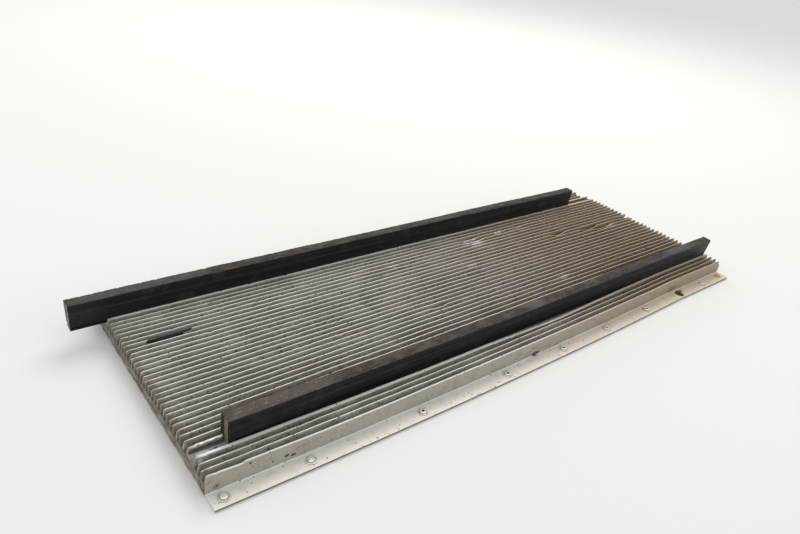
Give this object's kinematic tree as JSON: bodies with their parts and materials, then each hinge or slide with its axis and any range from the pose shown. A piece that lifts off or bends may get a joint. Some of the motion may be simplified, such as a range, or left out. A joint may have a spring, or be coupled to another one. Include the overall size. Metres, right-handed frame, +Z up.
{
  "type": "finned aluminium panel with slide-in rubber strips",
  "caption": "Long hollow aluminium panel with lengthwise fins, undercut slots holding tall black rubber strips, side flanges with blind rivets and closed ends.",
  "frame": {"origin": "middle of the panel's underside, the face it lies on", "axes": "+X along the fins and slots, +Y towards the rear long side, +Z up out of the underside"},
  "size_m": [0.7477, 0.2746, 0.0414],
  "materials": {
    "extruded_aluminium": "dull oxidised mill finish with scuffed fin edges",
    "cap_aluminium": "grimy, brownish oxidised",
    "black_rubber": "matt, scuffed grey on top",
    "rivet_aluminium": "semi-bright",
    "stem_steel": "dull broken steel"
  },
  "bodies": {
    "panel": {"front_extrusion": "extruded_aluminium", "rear_extrusion": "extruded_aluminium", "left_end_cap": "cap_aluminium", "right_end_cap": "cap_aluminium", "front_rivet_1": "rivet_aluminium", "front_rivet_2": "rivet_aluminium", "front_rivet_3": "rivet_aluminium", "front_rivet_4": "rivet_aluminium", "front_rivet_5": "rivet_aluminium", "front_rivet_6": "rivet_aluminium", "front_rivet_7": "rivet_aluminium", "front_rivet_8": "rivet_aluminium", "rear_rivet_1": "rivet_aluminium", "rear_rivet_2": "rivet_aluminium", "rear_rivet_3": "rivet_aluminium", "rear_rivet_4": "rivet_aluminium", "rear_rivet_5": "rivet_aluminium", "rear_rivet_6": "rivet_aluminium", "rear_rivet_7": "rivet_aluminium", "rear_rivet_8": "rivet_aluminium", "front_rivet_stem_1": "stem_steel", "front_rivet_stem_2": "stem_steel", "front_rivet_stem_3": "stem_steel", "front_rivet_stem_4": "stem_steel", "front_rivet_stem_5": "stem_steel", "front_rivet_stem_6": "stem_steel", "front_rivet_stem_7": "stem_steel", "front_rivet_stem_8": "stem_steel", "rear_rivet_stem_1": "stem_steel", "rear_rivet_stem_2": "stem_steel", "rear_rivet_stem_3": "stem_steel", "rear_rivet_stem_4": "stem_steel", "rear_rivet_stem_5": "stem_steel", "rear_rivet_stem_6": "stem_steel", "rear_rivet_stem_7": "stem_steel", "rear_rivet_stem_8": "stem_steel"},
    "front_strip": {"front_strip": "black_rubber"},
    "rear_strip": {"rear_strip": "black_rubber"}
  },
  "joints": [
    {"name": "front_strip_slide", "type": "slide", "parent": "panel", "child": "front_strip", "axis": [1, 0, 0], "range_m": [-0.15, 0.15]},
    {"name": "rear_strip_slide", "type": "slide", "parent": "panel", "child": "rear_strip", "axis": [1, 0, 0], "range_m": [-0.15, 0.15]}
  ]
}
